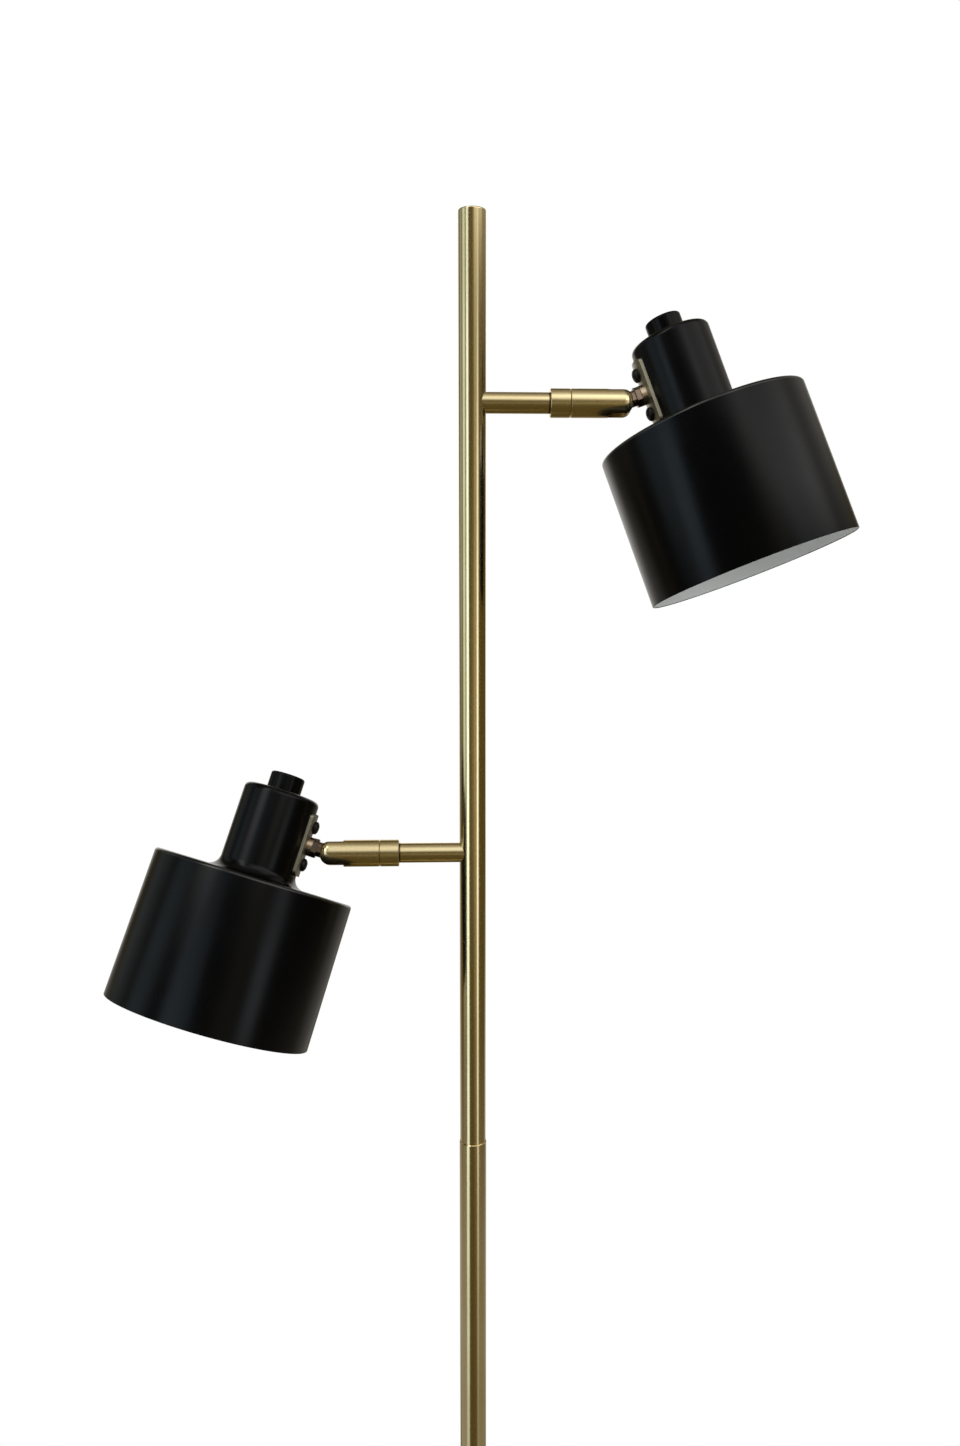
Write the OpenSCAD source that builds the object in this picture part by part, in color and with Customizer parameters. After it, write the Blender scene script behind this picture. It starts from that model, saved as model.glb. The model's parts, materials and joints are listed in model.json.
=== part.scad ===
// Free-standing floor lamp with two spotlight heads.
// A slim pole stands on a round weighted base. Each head hangs from a short arm, on a joint
// that swivels about the arm and tilts on a cross pin. A knob on each cup turns its switch.
// Origin: centre of the base, on the floor. +Z is up, the upper arm points along +X, the
// lower arm along -X, and the front is -Y. Lengths are millimetres, angles are degrees.

/* [Pole] */
// Height of the top of the pole above the floor
lamp_h = 1500; // [1350:1:1700]
// Outer diameter of the top tube of the pole
pole_d = 16.4; // [15:0.1:19]
// Outer diameter of the two lower tubes of the pole
low_pole_d = 17.3; // [15.5:0.1:20]
// Wall of the pole tubes
pole_wall = 1; // [0.8:0.1:1.2]
// Length of the top tube, which carries both arms
top_tube_l = 572; // [450:1:700]
// Edge radius at the closed top of the pole
pole_edge = 0.9; // [0.3:0.1:1.2]
// Depth of the plug that closes the top of the pole
cap_l = 8; // [4:0.5:15]
// Depth of each threaded plug and socket in the pole tubes
coupler_l = 20; // [12:1:30]
// Outer diameter of the hollow threaded studs in the pole
stud_d = 10; // [9:0.1:11]
// Bore of the hollow studs in the pole
stud_bore_d = 6.4; // [6:0.1:7]

/* [Base] */
// Diameter of the base
base_d = 250; // [220:1:300]
// Height of the base
base_h = 20; // [18:0.5:26]
// Sheet thickness of the base's cover
base_sheet = 1.5; // [1:0.1:2]
// Radius of the base's upper edge
base_edge = 5; // [2:0.5:6]
// Thickness of the pad under the base
pad_t = 2.5; // [2:0.1:4]
// Diameter of the nut pocket in the underside of the weight
pocket_d = 40; // [32:1:60]
// Depth of the nut pocket in the weight
pocket_depth = 8; // [7:0.5:9]
// Bore of the grommet where a supply cord would enter
cord_d = 6.4; // [5.6:0.1:7]
// Diameter of the grommet's body, in the cover's wall
grommet_d = 9; // [8.6:0.1:10]
// Diameter of the grommet's two flanges
flange_d = 12; // [11:0.1:12.4]
// Thickness of each flange of the grommet
flange_t = 1.8; // [1.2:0.1:2.4]

/* [Arms] */
// Distance of the upper arm below the top of the pole
upper_arm_drop = 107.4; // [60:0.1:160]
// Distance of the lower arm below the top of the pole
lower_arm_drop = 379.6; // [340:0.1:420]
// Outer diameter of the arms
arm_d = 12.3; // [11.8:0.1:13]
// Wall of the arm tubes
arm_wall = 1; // [0.8:0.1:1.2]
// Distance from the pole's axis to the collar
collar_x = 46.1; // [40:0.1:60]
// Length of the collar
collar_l = 11.8; // [10:0.1:15]
// Depth of the arm tube's seat in the collar
arm_seat = 6.4; // [5:0.1:7]

/* [Swivel] */
// Diameter of the collar and of the turning barrel
barrel_d = 16.8; // [16.4:0.1:18]
// Length of the barrel
barrel_l = 37.4; // [34:0.1:42]
// Gap between the collar and the barrel
seam = 0.3; // [0.2:0.05:0.5]
// Radius of the barrel's nose
nose_r = 6; // [4:0.1:6.4]
// Thickness of the barrel's rear wall
rear_wall = 4; // [3.5:0.1:5]
// Diameter of the hollow swivel spindle
spindle_d = 6.4; // [6:0.1:6.6]
// Bore of the swivel spindle
spindle_bore_d = 3.8; // [3:0.1:4]
// Diameter of the barrel's inner bore
cavity_d = 8.8; // [8.6:0.1:8.9]
// Swivel either way from hanging straight down, up to the stop
swivel_max = 155; // [120:1:158]
// Diameter of the stop pin
stop_d = 1.6; // [1.2:0.1:1.8]
// Distance of the stop pin from the arm's axis
stop_x = 5.8; // [5.5:0.1:6]

/* [Tilt joint] */
// Width of the slot in the barrel's nose
slot_w = 9; // [8.95:0.05:9.6]
// Length of the slot
slot_l = 15.1; // [13.6:0.1:17]
// Distance of the tilt pin from the nose end of the barrel
pin_back = 7.6; // [6.2:0.1:8]
// Diameter of the tilt pin
pin_d = 4; // [3.4:0.1:4.4]
// Clearance on each side of the tongue
tongue_gap = 0.2; // [0.1:0.05:0.3]
// Radius of the tongue about the tilt pin
tongue_r = 5.3; // [5:0.1:5.6]
// Diameter of the neck, which has flats like the tongue
neck_d = 9.4; // [8.6:0.1:10]
// Distance from the tilt pin to the hexagon
hex_x = 9.4; // [9:0.1:9.8]
// Length of the hexagon
hex_l = 3.2; // [2.8:0.1:3.4]
// Width of the hexagon across its flats
hex_af = 10.6; // [9.6:0.1:11]
// Diameter of the threaded end behind the hexagon
thread_d = 6.8; // [6.4:0.1:7.4]
// Bore of the threaded end
thread_bore_d = 3.8; // [3.6:0.1:4]
// Diameter of the washer between the hexagon and the bracket
washer_d = 12; // [10:0.1:13]
// Distance from the tilt pin to the side of the cup
cup_x = 17; // [16.6:0.1:19]

/* [Shade and cup] */
// Diameter of the shade at its mouth
mouth_d = 126.9; // [118:0.1:134]
// Diameter of the shade at its top
shade_top_d = 125.3; // [118:0.1:134]
// Height of the shade
shade_h = 92; // [85:0.5:110]
// Diameter of the cup above the shade
cup_d = 47.9; // [46.8:0.1:52]
// Height of the cup
cup_h = 55.4; // [54:0.1:60]
// Sheet thickness of the shade and cup
sheet = 0.8; // [0.6:0.1:1]
// Radius of the shade's upper edge
shoulder_r = 2; // [1.5:0.1:4]
// Radius of the flare at the foot of the cup
flare_r = 7.5; // [3:0.1:7.5]
// Radius of the cup's upper edge
crown_r = 3.5; // [2:0.1:4.5]
// Height of the tilt pin above the top of the shade
pin_up = 27.7; // [27.7:0.1:29]

/* [Bracket] */
// Width of the bracket
bracket_w = 18; // [14:0.1:20]
// Length of the bracket
bracket_l = 40; // [37:0.1:40]
// Thickness of the bracket
bracket_t = 1.8; // [1:0.1:2]
// Corner radius of the bracket
bracket_corner = 3; // [1:0.1:6]
// Spacing of the two bracket screws
screw_pitch = 24.1; // [22:0.1:25]
// Diameter of the bracket screws
screw_d = 4; // [3:0.1:4.2]
// Diameter of the screw heads
screw_head_d = 8.2; // [7:0.1:8.4]
// Height of the screw heads
screw_head_h = 2.9; // [2:0.1:3.2]
// Thickness of the threaded plate inside the cup
nut_plate_t = 2.6; // [1.5:0.1:2.6]
// Length of the threaded plate inside the cup
nut_plate_l = 35; // [32:0.5:36]

/* [Lampholder and switch] */
// Diameter of the lampholder
holder_d = 37; // [34:0.1:37.2]
// Height of the lampholder
holder_l = 41.8; // [40:0.1:44]
// Inner diameter of the threaded lamp sleeve
sleeve_bore_d = 26.6; // [26.4:0.1:27]
// Thickness of the lamp sleeve
sleeve_t = 0.8; // [0.5:0.1:1]
// Length of the lamp sleeve
sleeve_l = 16; // [14:0.5:18]
// Depth of the lamp socket
socket_depth = 26; // [24:0.1:26]
// Height of the switch block
switch_h = 14.6; // [13:0.1:15]
// Diameter of the switch block
switch_d = 34; // [28:0.1:34]
// Diameter of the switch's threaded bush
bush_d = 10; // [9:0.1:11]
// Height of the bush above the cup
bush_h = 3.2; // [2.8:0.1:3.6]
// Diameter of the switch spindle
shaft_d = 6; // [4:0.1:6.2]
// Diameter of the knob
knob_d = 21.6; // [20.4:0.1:26]
// Height of the top of the knob above the cup
knob_h = 11.2; // [10:0.1:16]
// Edge radius of the knob
knob_edge = 1.5; // [0.5:0.1:2.5]

/* [Rest position] */
// Swivel of the upper head towards the front, from hanging straight down
upper_swivel = 9.1; // [-60:0.1:60]
// Tilt of the upper head, mouth away from the pole
upper_tilt = 20; // [-10:0.1:80]
// Swivel of the lower head towards the front, from hanging straight down
lower_swivel = 17.1; // [-60:0.1:60]
// Tilt of the lower head, mouth away from the pole
lower_tilt = 17.5; // [-10:0.1:80]

/* [Hidden] */
$fn = 96;
// Clearance of threads and pressed fits, on the radius
fit = 0.02;
// Running clearance of turning pieces, on the radius
run = 0.05;
// Clearance of a hole for a screw or stud, on the radius
clear = 0.1;
// Air between parts that move past each other
air = 0.3;
// Chamfer on turned edges
chamfer = 0.3;
// How far cutting shapes run past what they cut
over = 1;
// Steps in each rounded corner of a turned outline
steps = 8;

pole_r = pole_d / 2;
low_pole_r = low_pole_d / 2;
pole_in_r = pole_r - pole_wall;
low_in_r = low_pole_r - pole_wall;
stud_r = stud_d / 2;
top_seam_z = lamp_h - top_tube_l;
low_tube_l = (top_seam_z - base_h) / 2;
low_seam_z = base_h + low_tube_l;
stud_reach = coupler_l - 4;

base_r = base_d / 2;
cover_lift = 2;
weight_clear = 0.5;
weight_z1 = base_h - base_sheet;
pocket_z = pad_t + pocket_depth;
washer_t = 1.6;
nut_t = 4;
nut_af = 14;
grommet_z = pad_t + flange_d / 2;
channel_w = flange_d + 1;

arm_r = arm_d / 2;
arm_in_r = arm_r - arm_wall;
barrel_r = barrel_d / 2;
collar_x1 = collar_x + collar_l;
arm_x1 = collar_x + arm_seat;
barrel_x0 = collar_x1 + seam;
barrel_x1 = barrel_x0 + barrel_l;
slot_x = barrel_x1 - slot_l;
pin_x = barrel_x1 - pin_back;
pin_r = pin_d / 2;

wire_r = 1.1;
wire_y = 1.3;
wire_bend = 5;
wire_z0 = 8;
bush_bore_r = 2.7;
bush_out_r = 3.4;
bush_flange_r = 4.6;
bush_flange_t = 1;

spindle_r = spindle_d / 2;
spindle_flange_r = arm_in_r - 0.2;
spindle_flange_t = 1.5;
spring_t = 0.6;
spring_x = barrel_x0 + rear_wall + 0.1;
clip_t = 0.8;
clip_x = spring_x + spring_t + run;
clip_groove = 0.45;
spindle_x1 = clip_x + clip_t + 1.5;
stop_r = stop_d / 2;
stop_out = 1.5;
groove_depth = stop_out - seam + 0.3;
groove_half = swivel_max + asin((stop_r + air) / stop_x);

hex_x1 = hex_x + hex_l;
thread_r = thread_d / 2;
cup_r = cup_d / 2;
cup_in_r = cup_r - sheet;
axis_x = cup_x + cup_r;
nut_plate_w = 12;
thread_x1 = cup_x + sheet + nut_plate_t + 0.4;

mouth_r = mouth_d / 2;
shade_top_r = shade_top_d / 2;
cup_top = shade_h + cup_h;
pin_h = shade_h + pin_up;
flare = min(flare_r, pin_up - bracket_l / 2 - 0.2);

switch_top = cup_top - sheet;
holder_top = switch_top - switch_h;
holder_mouth = holder_top - holder_l;
sleeve_r = sleeve_bore_d / 2;
sleeve_out_r = sleeve_r + sleeve_t;
lip_t = 2;
chamber_r = holder_d / 2 - 3;
chamber_floor = 1.8;
notch_w = 5;
lead_r = 0.7;
lead_y = 0.8;
lead_bend = 3;
lead_x0 = 12;
lead_x1 = axis_x - 14;
bush_r = bush_d / 2;
shaft_r = shaft_d / 2;
shaft_h0 = switch_top - 10;
shaft_h1 = cup_top + knob_h - 2.8;
knob_nut_t = 2.2;
knob_nut_r = 8;
knob_recess = bush_h + 0.6;

// Each lamp: height of its arm, heading of its arm, swivel about the arm and tilt on the pin
UPPER = [lamp_h - upper_arm_drop, 0, -upper_swivel, upper_tilt];
LOWER = [lamp_h - lower_arm_drop, 180, lower_swivel, lower_tilt];

// Points of an arc about [x, y], from angle a0 to angle a1
function arc(x, y, r, a0, a1) =
    [for (i = [0:steps]) let (a = a0 + (a1 - a0) * i / steps) [x + r * cos(a), y + r * sin(a)]];

// Outline of the spun sheet, as radius and height above the mouth. It is the outer face at
// inset 0, and the inner face at an inset of the sheet's thickness.
function shade_outline(inset) = concat(
    [[0, -inset], [mouth_r - inset, -inset], [mouth_r - inset, 0]],
    arc(shade_top_r - shoulder_r, shade_h - shoulder_r, shoulder_r - inset, 0, 90),
    arc(cup_r + flare, shade_h + flare, flare + inset, 270, 180),
    arc(cup_r - crown_r, cup_top - crown_r, crown_r - inset, 0, 90),
    [[0, cup_top - inset]]
);

// A cylinder along +X
module rod(x0, x1, r) {
    translate([x0, 0, 0])
        rotate([0, 90, 0])
            cylinder(h = x1 - x0, r = r);
}

// An upright cylinder
module post(z0, z1, r) {
    translate([0, 0, z0])
        cylinder(h = z1 - z0, r = r);
}

// A shape turned about +X, from points of radius and distance along X
module turned(points) {
    rotate([0, 90, 0])
        rotate_extrude()
            polygon(points);
}

// A turned bar with chamfered ends, as points for turned
function bar(x0, x1, r) =
    [[0, x0], [r - chamfer, x0], [r, x0 + chamfer], [r, x1 - chamfer], [r - chamfer, x1], [0, x1]];

// A hexagon prism along +X with flats facing the front and back
module hexagon(x0, x1, af) {
    translate([x0, 0, 0])
        rotate([0, 90, 0])
            cylinder(h = x1 - x0, r = af / sqrt(3), $fn = 6);
}

// A strip with rounded corners, standing in the YZ plane between x0 and x1
module strip(w, l, corner, x0, x1) {
    translate([x0, 0, 0])
        rotate([90, 0, 90])
            linear_extrude(height = x1 - x0) {
                square([w, l - 2 * corner], center = true);
                square([w - 2 * corner, l], center = true);
                for (across = [-1, 1], along = [-1, 1])
                    translate([across * (w / 2 - corner), along * (l / 2 - corner)])
                        circle(r = corner);
            }
}

// Places children in an arm's frame: origin on the pole's axis, +X out along the arm
module on_arm(lamp) {
    translate([0, 0, lamp[0]])
        rotate([0, 0, lamp[1]])
            children();
}

// Places children on the turning barrel of a lamp
module on_barrel(lamp) {
    on_arm(lamp)
        rotate([lamp[2], 0, 0])
            children();
}

// Places children on a head: origin on the tilt pin, +X along the stem, +Z up the head
module on_head(lamp) {
    on_barrel(lamp)
        translate([pin_x, 0, 0])
            rotate([0, -lamp[3], 0])
                children();
}

// Places children on the axis of a head's shade, at the height of its mouth
module on_axis(lamp) {
    on_head(lamp)
        translate([axis_x, 0, -pin_h])
            children();
}

// Pressed cover of the base, open below, with holes for the stud and the grommet
module base_cover() {
    color("darkgoldenrod")
        difference() {
            rotate_extrude()
                polygon(concat(
                    [[0, cover_lift], [base_r, cover_lift]],
                    arc(base_r - base_edge, base_h - base_edge, base_edge, 0, 90),
                    [[0, base_h]]
                ));
            rotate_extrude()
                polygon(concat(
                    [[0, cover_lift - over], [base_r - base_sheet, cover_lift - over]],
                    arc(base_r - base_edge, base_h - base_edge, base_edge - base_sheet, 0, 90),
                    [[0, base_h - base_sheet]]
                ));
            post(0, base_h + over, stud_r + clear);
            grommet_hole();
        }
}

// The hole in the back of the cover
module grommet_hole() {
    translate([0, base_r - base_edge, grommet_z])
        rotate([-90, 0, 0])
            cylinder(h = base_edge + over, r = grommet_d / 2);
}

// Cast weight under the cover, with a nut pocket and a channel for the cord
module base_weight() {
    weight_r = base_r - base_sheet - weight_clear;
    color("dimgray")
        difference() {
            rotate_extrude()
                polygon([
                    [0, pad_t], [weight_r, pad_t], [weight_r, weight_z1 - base_edge],
                    [weight_r - base_edge, weight_z1], [0, weight_z1]
                ]);
            post(0, base_h, stud_r + clear);
            post(0, pocket_z, pocket_d / 2);
            translate([-channel_w / 2, 0, 0])
                cube([channel_w, base_r, grommet_z + channel_w / 2]);
        }
}

// Soft pad that the lamp stands on
module base_pad() {
    color("black")
        post(0, pad_t, base_r - base_sheet - 2 * weight_clear);
}

// Hollow threaded stud that ties the base to the pole
module base_stud() {
    color("silver")
        difference() {
            post(pocket_z - washer_t - nut_t - 1, base_h + stud_reach, stud_r);
            post(0, base_h + coupler_l, stud_bore_d / 2);
        }
}

// Washer under the weight
module base_washer() {
    color("silver")
        difference() {
            post(pocket_z - washer_t, pocket_z, pocket_d / 2 - 5);
            post(0, base_h, stud_r + clear);
        }
}

// Nut under the washer
module base_nut() {
    color("silver")
        difference() {
            translate([0, 0, pocket_z - washer_t - nut_t])
                cylinder(h = nut_t, r = nut_af / sqrt(3), $fn = 6);
            post(0, base_h, stud_r + fit);
        }
}

// Rubber grommet where a supply cord would enter the base
module cord_grommet() {
    wall_y0 = base_r - base_sheet;
    color("black")
        translate([0, 0, grommet_z])
            rotate([-90, 0, 0])
                difference() {
                    union() {
                        post(wall_y0 - flange_t - 0.2, wall_y0 - 0.2, flange_d / 2);
                        post(wall_y0 - 1, base_r + 1, grommet_d / 2 - fit);
                        post(base_r, base_r + flange_t, flange_d / 2);
                    }
                    post(0, base_r + 2 * flange_t, cord_d / 2);
                }
}

// A pole tube with a chamfer at each end
module pole_tube(z0, z1, r, in_r) {
    difference() {
        rotate_extrude()
            polygon(bar(z0, z1, r));
        post(z0 - over, z1 + over, in_r);
    }
}

module pole_lower() {
    color("darkkhaki")
        pole_tube(base_h, low_seam_z, low_pole_r, low_in_r);
}

module pole_middle() {
    color("darkkhaki")
        pole_tube(low_seam_z, top_seam_z, low_pole_r, low_in_r);
}

// Top tube, with a rounded upper edge and a wire hole behind each arm
module pole_upper() {
    color("darkkhaki")
        difference() {
            rotate_extrude()
                polygon(concat(
                    [[0, top_seam_z], [pole_r - chamfer, top_seam_z], [pole_r, top_seam_z + chamfer]],
                    arc(pole_r - pole_edge, lamp_h - pole_edge, pole_edge, 0, 90),
                    [[0, lamp_h]]
                ));
            post(top_seam_z - over, lamp_h + over, pole_in_r);
            for (lamp = [UPPER, LOWER])
                on_arm(lamp)
                    rod(0, pole_r + over, bush_out_r + run);
        }
}

// Threaded sockets fixed in the lower end of each pole tube
module pole_sockets() {
    sockets = [[base_h, low_in_r], [low_seam_z, low_in_r], [top_seam_z, pole_in_r]];
    color("silver")
        for (s = sockets)
            difference() {
                post(s[0], s[0] + coupler_l, s[1] - fit);
                post(s[0] - over, s[0] + coupler_l + over, stud_r + fit);
            }
}

// Plugs with a stud, fixed in the upper end of the two lower tubes
module pole_studs() {
    color("silver")
        for (z = [low_seam_z, top_seam_z])
            difference() {
                union() {
                    post(z - coupler_l, z, low_in_r - fit);
                    post(z - over, z + stud_reach, stud_r);
                }
                post(z - coupler_l - over, z + coupler_l, stud_bore_d / 2);
            }
}

// Plug that closes the top of the pole
module pole_cap() {
    color("darkkhaki")
        post(lamp_h - cap_l, lamp_h, pole_in_r - fit);
}

// One insulated lead to each arm: up the pole, round a bend and out along the arm
module pole_leads() {
    color("dimgray")
        for (lamp = [UPPER, LOWER])
            on_arm(lamp)
                translate([0, wire_y, 0]) {
                    post(wire_z0 - lamp[0], -wire_bend, wire_r);
                    translate([wire_bend, 0, -wire_bend])
                        rotate([90, 0, 0])
                            rotate([0, 0, 90])
                                rotate_extrude(angle = 90)
                                    translate([wire_bend, 0])
                                        circle(r = wire_r);
                    rod(wire_bend, arm_x1 - spindle_flange_t - 1, wire_r);
                }
}

// Arm tube, cut to sit on the pole
module arm() {
    color("darkkhaki")
        difference() {
            rod(0, arm_x1, arm_r);
            rod(-over, arm_x1 + over, arm_in_r);
            post(-arm_r - over, arm_r + over, pole_r);
        }
}

// Insulating bush that lines the wire hole in the pole
module wire_bush() {
    color("white")
        difference() {
            union() {
                rod(pole_in_r - 1, pole_r + bush_flange_t, bush_out_r);
                rod(pole_r + fit, pole_r + bush_flange_t, bush_flange_r);
            }
            rod(0, pole_r + 2 * bush_flange_t, bush_bore_r);
        }
}

// Fixed collar on the end of the arm, with the stop pin in its front face
module collar() {
    color("darkkhaki") {
        difference() {
            turned(bar(collar_x, collar_x1, barrel_r));
            rod(collar_x - over, arm_x1 + 0.2, arm_r + fit);
            rod(collar_x, collar_x1 + over, spindle_r + fit);
        }
        translate([0, 0, -stop_x])
            rod(collar_x1 - 2, collar_x1 + stop_out, stop_r);
    }
}

// Hollow spindle that holds the barrel to the collar, with a groove for its clip
module swivel_spindle() {
    color("silver")
        difference() {
            union() {
                rod(arm_x1 - spindle_flange_t, spindle_x1, spindle_r);
                rod(arm_x1 - spindle_flange_t, arm_x1 + 0.1, spindle_flange_r);
            }
            rod(0, barrel_x1, spindle_bore_d / 2);
            difference() {
                rod(clip_x, clip_x + clip_t + run, spindle_r + over);
                rod(clip_x - over, clip_x + clip_t + over, spindle_r - clip_groove);
            }
        }
}

// Spring washer that drags on the barrel
module spring_washer() {
    color("silver")
        difference() {
            rod(spring_x, spring_x + spring_t, cavity_d / 2 - 0.2);
            rod(0, barrel_x1, spindle_r + run);
        }
}

// Open clip in the spindle's groove
module clip() {
    color("silver")
        difference() {
            rod(clip_x, clip_x + clip_t, cavity_d / 2 - 0.3);
            rod(0, barrel_x1, spindle_r - clip_groove + fit);
            translate([0, -1.5, 0])
                cube([barrel_x1, 3, barrel_r]);
        }
}

// Turning barrel with a rounded, slotted nose
module barrel() {
    color("darkkhaki")
        difference() {
            turned(concat(
                [[0, barrel_x0], [barrel_r - chamfer, barrel_x0], [barrel_r, barrel_x0 + chamfer]],
                arc(barrel_r - nose_r, barrel_x1 - nose_r, nose_r, 0, 90),
                [[0, barrel_x1]]
            ));
            rod(barrel_x0 - over, slot_x, spindle_r + run);
            rod(barrel_x0 + rear_wall, slot_x + over, cavity_d / 2);
            translate([slot_x, -slot_w / 2, -barrel_r - over])
                cube([slot_l + over, slot_w, 2 * (barrel_r + over)]);
            pin_along(barrel_r + over, pin_r + fit);
            translate([barrel_x0, 0, 0])
                rotate([0, 90, 0])
                    rotate([0, 0, -groove_half])
                        rotate_extrude(angle = 2 * groove_half)
                            translate([stop_x - stop_r - air, -over])
                                square([2 * (stop_r + air), groove_depth + over]);
        }
}

// A cylinder on the tilt pin's axis, in the barrel's frame
module pin_along(half_l, r) {
    translate([pin_x, half_l, 0])
        rotate([90, 0, 0])
            cylinder(h = 2 * half_l, r = r);
}

// Tilt pin, ground flush with the barrel
module tilt_pin() {
    color("darkkhaki")
        intersection() {
            pin_along(barrel_r, pin_r);
            rod(slot_x, barrel_x1, barrel_r);
        }
}

// Stem of a head: tongue on the tilt pin, neck, hexagon and hollow threaded end
module stem() {
    tongue_half = slot_w / 2 - tongue_gap;
    corner_r = hex_af / sqrt(3);
    color("rosybrown")
        difference() {
            union() {
                translate([0, tongue_half, 0])
                    rotate([90, 0, 0])
                        cylinder(h = 2 * tongue_half, r = tongue_r);
                intersection() {
                    rod(0, hex_x, neck_d / 2);
                    translate([0, -tongue_half, -neck_d])
                        cube([hex_x, 2 * tongue_half, 2 * neck_d]);
                }
                intersection() {
                    hexagon(hex_x, hex_x1, hex_af);
                    turned(bar(hex_x, hex_x1, corner_r - 0.1));
                }
                rod(hex_x, thread_x1, thread_r);
            }
            translate([0, barrel_r, 0])
                rotate([90, 0, 0])
                    cylinder(h = 2 * barrel_r, r = pin_r + run);
            rod(hex_x - 2, thread_x1 + over, thread_bore_d / 2);
            wire_way();
        }
}

// Slanting wire way from the threaded end's bore, over the tilt pin, to the top of the tongue
module wire_way() {
    translate([hex_x - 1.6, 0, 0.5])
        rotate([0, -64.5, 0])
            cylinder(h = 12, r = 1.1);
}

// Washer between the hexagon and the bracket, hollowed to fit the curve
module saddle_washer() {
    color("darkkhaki")
        difference() {
            rod(hex_x1, cup_x, washer_d / 2);
            rod(0, axis_x, thread_r + clear);
            translate([axis_x, 0, 0])
                post(-washer_d, washer_d, cup_r + bracket_t);
        }
}

// Curved bracket on the side of the cup
module bracket() {
    color("tan")
        difference() {
            intersection() {
                translate([axis_x, 0, 0])
                    post(-bracket_l, bracket_l, cup_r + bracket_t);
                strip(bracket_w, bracket_l, bracket_corner, 0, axis_x);
            }
            translate([axis_x, 0, 0])
                post(-bracket_l, bracket_l, cup_r);
            rod(0, axis_x, thread_r + clear);
            at_screws()
                rod(0, axis_x, screw_d / 2 + clear);
        }
}

// Places children at the two bracket screws
module at_screws() {
    for (side = [-1, 1])
        translate([0, 0, side * screw_pitch / 2])
            children();
}

// Two domed screws with cross recesses
module bracket_screws() {
    head_x = cup_x - bracket_t;
    head_r = screw_head_d / 2;
    flat = screw_head_h * 0.25;
    color("black")
        at_screws()
            difference() {
                union() {
                    rod(head_x - fit, thread_x1 - 0.2, screw_d / 2);
                    translate([head_x, 0, 0])
                        rotate([0, -90, 0])
                            rotate_extrude()
                                polygon(concat(
                                    [[0, 0], [head_r, 0]],
                                    [for (i = [0:steps]) let (a = 90 * i / steps)
                                        [head_r * cos(a), flat + (screw_head_h - flat) * sin(a)]]
                                ));
                }
                for (turn = [0, 90])
                    rotate([turn, 0, 0])
                        translate([head_x - screw_head_h - over, -0.45, -2.1])
                            cube([over + 1.3, 0.9, 4.2]);
            }
}

// Curved threaded plate inside the cup
module nut_plate() {
    color("silver")
        difference() {
            intersection() {
                translate([axis_x, 0, 0])
                    post(-nut_plate_l, nut_plate_l, cup_in_r - fit);
                strip(nut_plate_w, nut_plate_l, nut_plate_w / 2 - 1, 0, axis_x);
            }
            translate([axis_x, 0, 0])
                post(-nut_plate_l, nut_plate_l, cup_in_r - fit - nut_plate_t);
            rod(0, axis_x, thread_r + fit);
            at_screws()
                rod(0, axis_x, screw_d / 2 + fit);
        }
}

// Spun shade and cup in one piece, open below, with holes for stem, screws and switch
module shade() {
    color([0.03, 0.03, 0.04])
        difference() {
            rotate_extrude()
                polygon(shade_outline(0));
            rotate_extrude()
                polygon(shade_outline(sheet));
            post(shade_h, cup_top + over, bush_r + clear);
            translate([-axis_x, 0, pin_h]) {
                rod(0, axis_x, thread_r + clear);
                at_screws()
                    rod(0, axis_x, screw_d / 2 + clear);
            }
        }
}

// Moulded lampholder: lamp socket below, wiring chamber above with a notch towards the stem
module lampholder() {
    floor_h = holder_mouth + socket_depth;
    color("ivory")
        difference() {
            post(holder_mouth, holder_top, holder_d / 2);
            post(holder_mouth - over, floor_h, sleeve_r + 0.4);
            post(holder_mouth + lip_t, floor_h, sleeve_out_r + run);
            post(floor_h + chamber_floor, holder_top + over, chamber_r);
            translate([-holder_d / 2 - over, -notch_w / 2, floor_h + chamber_floor])
                cube([holder_d / 2, notch_w, holder_l]);
        }
}

// Sleeve that takes the screw cap of a lamp
module lamp_sleeve() {
    z0 = holder_mouth + lip_t + fit;
    color("silver")
        difference() {
            post(z0, z0 + sleeve_l, sleeve_out_r);
            post(z0 - over, z0 + sleeve_l + over, sleeve_r);
        }
}

// Spring contact at the bottom of the socket
module contact() {
    floor_h = holder_mouth + socket_depth;
    strip_t = 0.5;
    color("goldenrod")
        translate([0, 0, floor_h - strip_t]) {
            translate([-10, -2.5, 0])
                cube([9, 5, strip_t]);
            translate([-2, -2.5, 0])
                rotate([0, 25, 0])
                    cube([8, 5, strip_t]);
        }
}

// Switch block under the top of the cup, with its threaded bush
module switch_block() {
    color("dimgray")
        difference() {
            union() {
                post(holder_top, switch_top, switch_d / 2);
                post(switch_top - over, cup_top + bush_h, bush_r);
            }
            post(shaft_h0 - air, cup_top + knob_h, shaft_r + run);
        }
}

// Nut that holds the switch bush to the cup
module switch_nut() {
    color("silver")
        difference() {
            translate([0, 0, cup_top])
                cylinder(h = knob_nut_t, r = knob_nut_r, $fn = 6);
            post(cup_top - over, cup_top + knob_h, bush_r + fit);
        }
}

// Two short leads from the stem's bore, through the notch and up to the switch block
module leads() {
    color("firebrick")
        for (side = [-1, 1])
            translate([0, side * lead_y, 0]) {
                rod(lead_x0, lead_x1, lead_r);
                translate([lead_x1, 0, lead_bend])
                    rotate([90, 0, 0])
                        rotate([0, 0, -90])
                            rotate_extrude(angle = 90)
                                translate([lead_bend, 0])
                                    circle(r = lead_r);
                translate([lead_x1 + lead_bend, 0, 0])
                    post(lead_bend, holder_top - pin_h, lead_r);
            }
}

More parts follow.
